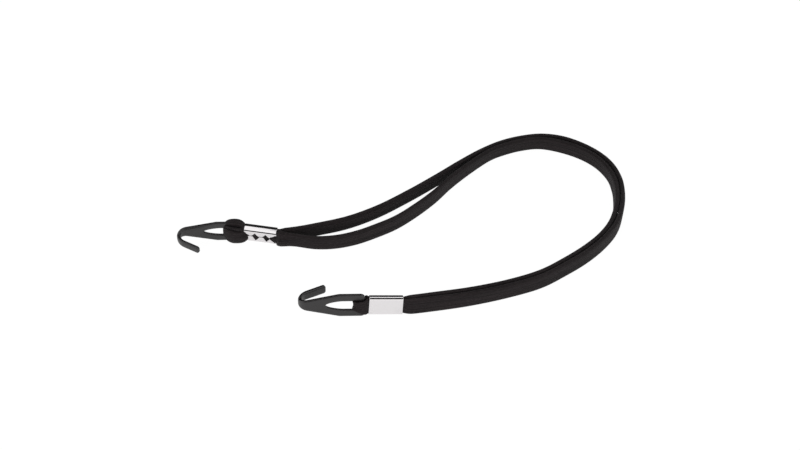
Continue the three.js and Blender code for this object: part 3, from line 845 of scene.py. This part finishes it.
def add_ferrule(name, end, body):
    """Crimp of plated sheet, rolled round the elastic so that its toothed edges meet inside the U."""
    height, depth = end["ferrule"]
    sections = [
        ferrule_section(depth - 2 * wall, height - 2 * wall, end["corner"] - wall, end["bow"])
        for wall in (0, FERRULE_WALL)
    ]
    xs = ferrule_xs()
    skins = [ferrule_skin(section, x) for x in xs for section in sections]
    place = ferrule_place(end)
    vertices = [place @ Vector(point) for skin in skins for point in skin]
    count = len(skins[0])
    arc = [0]
    for a, b in zip(skins[0], skins[0][1:]):
        arc.append(arc[-1] + math.dist(a, b))
    faces, uvs = [], []
    for i in range(len(xs) - 1):
        outer_a, inner_a, outer_b, inner_b = ((2 * i + k) * count for k in range(4))
        for j in range(count - 1):
            low, high = arc[j], arc[j + 1]
            for a, b in ((outer_a, outer_b), (inner_a, inner_b)):
                faces.append((a + j, a + j + 1, b + j + 1, b + j))
                uvs.append([(xs[i], low), (xs[i], high), (xs[i + 1], high), (xs[i + 1], low)])
        for j in (0, count - 1):
            faces.append((outer_a + j, inner_a + j, inner_b + j, outer_b + j))
            uvs.append([(xs[i], arc[j])] * 4)
    for i in (0, len(xs) - 1):
        outer, inner = 2 * i * count, (2 * i + 1) * count
        for j in range(count - 1):
            faces.append((outer + j, outer + j + 1, inner + j + 1, inner + j))
            uvs.append([(xs[i], arc[j])] * 4)
    piece = mesh_object(name + "_crimp", vertices, faces, uvs, PLATING)
    round_edges(piece, RIM_ROUNDING)
    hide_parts(name)
    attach(piece, body)


add_ferrule("near_ferrule", NEAR_END, "near_end")
add_ferrule("far_ferrule", FAR_END, "strap")


def blank_half_width(s, tail_width):
    """Half width of the flat hook blank at s along it, from the end of the plate to the tip of the tail."""
    stops = [
        (PARALLEL_LENGTH, PLATE_WIDTH), (PLATE_LENGTH, BEND_WIDTH),
        (PLATE_LENGTH + BEND_LENGTH / 2, NOSE_WIDTH), (PLATE_LENGTH + BEND_LENGTH, tail_width),
    ]
    if s <= PARALLEL_LENGTH:
        return PLATE_WIDTH / 2
    for (low, a), (high, b) in zip(stops, stops[1:]):
        if s <= high:
            return mix(a, b, (s - low) / (high - low)) / 2
    return tail_width / 2


def quarter(centre, radius, first):
    """Quarter circle of points about a centre, turning on from the first angle in degrees."""
    angles = [math.radians(first + 90 * i / QUARTER_STEPS) for i in range(QUARTER_STEPS + 1)]
    return [(centre[0] + radius * math.cos(a), centre[1] + radius * math.sin(a)) for a in angles]


def blank_outline(tail_width, tail_length):
    """Outline of the flat blank, s along and z across, anticlockwise from the end of the plate."""
    length = PLATE_LENGTH + BEND_LENGTH + tail_length
    side = quarter((PLATE_CORNER, PLATE_CORNER - PLATE_WIDTH / 2), PLATE_CORNER, 180)
    for i in range(1, SIDE_STEPS):
        s = mix(PLATE_CORNER, length - TAIL_CORNER, i / SIDE_STEPS)
        side.append((s, -blank_half_width(s, tail_width)))
    side += quarter((length - TAIL_CORNER, TAIL_CORNER - tail_width / 2), TAIL_CORNER, 270)
    return side + [(s, -z) for s, z in reversed(side)]


def slot_outline():
    """Outline of the slot in the blank: square at the bar, eased to a blunt point towards the nose."""
    half = SLOT_WIDTH / 2
    tip = BAR_WIDTH + SLOT_LENGTH
    shoulder = tip - SLOT_POINT
    side = [(mix(BAR_WIDTH, shoulder, i / SLOT_SIDE_STEPS), -half) for i in range(SLOT_SIDE_STEPS)]
    a = Vector((shoulder, -half))
    b = Vector((shoulder + SLOT_SHOULDER_EASE * SLOT_POINT, -half))
    c = Vector((tip, -half * SLOT_TIP_EASE))
    d = Vector((tip, 0))
    for i in range(SLOT_POINT_STEPS + 1):
        t = i / SLOT_POINT_STEPS
        u = 1 - t
        side.append(tuple(a * u ** 3 + b * 3 * t * u ** 2 + c * 3 * t ** 2 * u + d * t ** 3))
    return side + [(s, -z) for s, z in reversed(side[:-1])]


def inset(outline, amount):
    """The outline moved to its left by the amount."""
    moved = []
    for i, (s, z) in enumerate(outline):
        before, after = Vector(outline[i - 1]), Vector(outline[(i + 1) % len(outline)])
        along = (after - before).normalized()
        moved.append((s - along.y * amount, z + along.x * amount))
    return moved


def sheet_edge():
    """Rounded edge of the sheet from its upper to its lower face, as run in from the outline and height."""
    half = PLATE_THICKNESS / 2
    upper = []
    for i in range(QUARTER_STEPS + 1):
        angle = math.radians(90 * i / QUARTER_STEPS)
        upper.append((EDGE_RUN * (1 - math.sin(angle)), half - EDGE_DROP * (1 - math.cos(angle))))
    return upper + [(run, -height) for run, height in reversed(upper)]


def bend_blank(s, z, y):
    """Place on the bent hook of a point of the flat blank, y being its height over the sheet's middle."""
    at = Vector((min(s, PLATE_LENGTH) - BAR_WIDTH / 2, 0, z))
    beyond = max(0, s - PLATE_LENGTH)
    heading = 0
    for radius, angle in BENDS:
        turn = min(angle, beyond / radius)
        at.x += radius * (math.sin(heading + turn) - math.sin(heading))
        at.y += radius * (math.cos(heading) - math.cos(heading + turn))
        heading += turn
        beyond -= turn * radius
    along = Vector((math.cos(heading), math.sin(heading), 0))
    inner = Vector((-along.y, along.x, 0))
    return at + along * beyond + inner * y


def add_hook(name, end):
    """Hook pressed from coated sheet: a slotted plate rolled round at the nose into a narrow tail."""
    edge = sheet_edge()
    sheet = bmesh.new()
    borders = {0: [], len(edge) - 1: []}
    for outline, turn in ((blank_outline(*end["tail"]), 1), (slot_outline(), -1)):
        rings = []
        for run, height in edge:
            rings.append([sheet.verts.new((s, z, height)) for s, z in inset(outline, turn * run)])
        for ring, other in zip(rings, rings[1:]):
            for j in range(len(ring)):
                sheet.faces.new((ring[j - 1], ring[j], other[j], other[j - 1]))
        for k in borders:
            borders[k] += [sheet.edges.get((rings[k][j - 1], rings[k][j])) for j in range(len(outline))]
    for border in borders.values():
        bmesh.ops.triangle_fill(sheet, use_beauty=True, edges=border)
    for i in range(BEND_STEPS + 1):
        s = PLATE_LENGTH + BEND_LENGTH * i / BEND_STEPS
        bmesh.ops.bisect_plane(sheet, geom=[*sheet.verts, *sheet.edges, *sheet.faces],
                               plane_co=(s, 0, 0), plane_no=(1, 0, 0))
    bmesh.ops.recalc_face_normals(sheet, faces=sheet.faces)
    place = hook_place(end)
    for vertex in sheet.verts:
        vertex.co = place @ bend_blank(*vertex.co) * MM
    mesh = bpy.data.meshes.new(name + "_pressing")
    sheet.to_mesh(mesh)
    sheet.free()
    mesh.shade_smooth()
    mesh.materials.append(COATING)
    piece = put_in_scene(name + "_pressing", mesh)
    piece.modifiers.new("flat_faces", "WEIGHTED_NORMAL")
    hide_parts(name)
    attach(piece, name)


add_hook("near_hook", NEAR_END)
add_hook("far_hook", FAR_END)


def add_floor():
    """White table: it shows as white and keeps a faint shadow under the strap."""
    mesh = bpy.data.meshes.new("table")
    signs = [(-1, -1), (1, -1), (1, 1), (-1, 1)]
    mesh.from_pydata([(x * TABLE_REACH, y * TABLE_REACH, 0) for x, y in signs], [], [(0, 1, 2, 3)])
    floor = put_in_scene("table", mesh)
    material = bpy.data.materials.new("white_table")
    material.use_nodes = True
    tree = material.node_tree
    tree.nodes.clear()
    matt = add_node(tree, "ShaderNodeBsdfDiffuse", {"Color": hex_colour("#f4f4f4")})
    white = add_node(tree, "ShaderNodeEmission", {"Color": hex_colour("#ffffff"), "Strength": TABLE_GLOW})
    ray = add_node(tree, "ShaderNodeLightPath")
    mirrored = add_node(tree, "ShaderNodeMath", {
        0: ray.outputs["Is Glossy Ray"], 1: MIRROR_SHARE,
    }, operation="MULTIPLY")
    share = add_node(tree, "ShaderNodeMath", {
        0: ray.outputs["Is Camera Ray"], 1: CAMERA_SHARE, 2: mirrored.outputs["Value"],
    }, operation="MULTIPLY_ADD")
    mixed = add_node(tree, "ShaderNodeMixShader", {
        0: share.outputs["Value"], 1: matt.outputs["BSDF"], 2: white.outputs["Emission"],
    })
    add_node(tree, "ShaderNodeOutputMaterial", {"Surface": mixed.outputs["Shader"]})
    mesh.materials.append(material)


def add_light(name, place, size, watts):
    """Square soft light turned to the middle of the strap, not mirrored in the coating or the plating."""
    light = bpy.data.lights.new(name, "AREA")
    light.size = size
    light.energy = watts
    made = put_in_scene(name, light)
    made.location = place
    made.rotation_euler = (STRAP_MIDDLE - Vector(place)).to_track_quat("-Z", "Y").to_euler()
    made.visible_glossy = False


def dark_card():
    """Matt black card, which gives mirrors a dark field."""
    material, _, _, shader = new_material("dark_card")
    shader.inputs["Base Color"].default_value = hex_colour("#0a0a0a")
    shader.inputs["Roughness"].default_value = 1
    return material


def upright(y, panels):
    """Corners of upright panels at y."""
    corners = []
    for left, right, low, high in panels:
        corners.append([(left, y, low), (right, y, low), (right, y, high), (left, y, high)])
    return corners


def add_dark_card(name, material, panels):
    """Card out of the light, seen by mirrors only: it draws the dark lines on the ferrules and hook edges."""
    mesh = bpy.data.meshes.new(name)
    faces = [tuple(range(4 * i, 4 * i + 4)) for i in range(len(panels))]
    mesh.from_pydata([corner for panel in panels for corner in panel], [], faces)
    mesh.materials.append(material)
    card = put_in_scene(name, mesh)
    card.visible_camera = False
    card.visible_diffuse = False
    card.visible_shadow = False


def add_world():
    """White surroundings for what the camera and mirrors see, a plain grey fill for everything else."""
    world = bpy.data.worlds.new("white_room")
    bpy.context.scene.world = world
    world.use_nodes = True
    tree = world.node_tree
    tree.nodes.clear()
    ray = add_node(tree, "ShaderNodeLightPath")
    mirrored = add_node(tree, "ShaderNodeMath", {
        0: ray.outputs["Is Camera Ray"], 1: ray.outputs["Is Glossy Ray"],
    }, operation="MAXIMUM")
    seen = add_node(tree, "ShaderNodeMath", {
        0: mirrored.outputs["Value"], 1: ray.outputs["Is Transmission Ray"],
    }, operation="MAXIMUM")
    level = add_node(tree, "ShaderNodeMapRange", {"Value": seen.outputs["Value"], "To Min": 0.5, "To Max": 1})
    back = add_node(tree, "ShaderNodeBackground", {
        "Color": hex_colour("#ffffff"), "Strength": level.outputs["Result"],
    })
    add_node(tree, "ShaderNodeOutputWorld", {"Surface": back.outputs["Background"]})


add_floor()
add_light("front_left_softbox", place=(-0.9, -1.5, 0.6), size=0.8, watts=16)
add_light("front_right_softbox", place=(1.0, -1.2, 0.5), size=0.6, watts=5)
BLACK_CARD = dark_card()
add_dark_card("back_card", BLACK_CARD, upright(CARD_BACK, BACK_PANELS))
add_dark_card("front_card", BLACK_CARD, upright(CARD_FRONT, FRONT_PANELS))
add_dark_card("overhead_card", BLACK_CARD, [[
    (OVERHEAD_LEFT, CARD_FRONT, CARD_TOP), (CARD_RIGHT, CARD_FRONT, CARD_TOP),
    (CARD_RIGHT, CARD_BACK, CARD_TOP), (OVERHEAD_LEFT, CARD_BACK, CARD_TOP),
]])
add_world()
bpy.context.scene.view_settings.view_transform = "Standard"
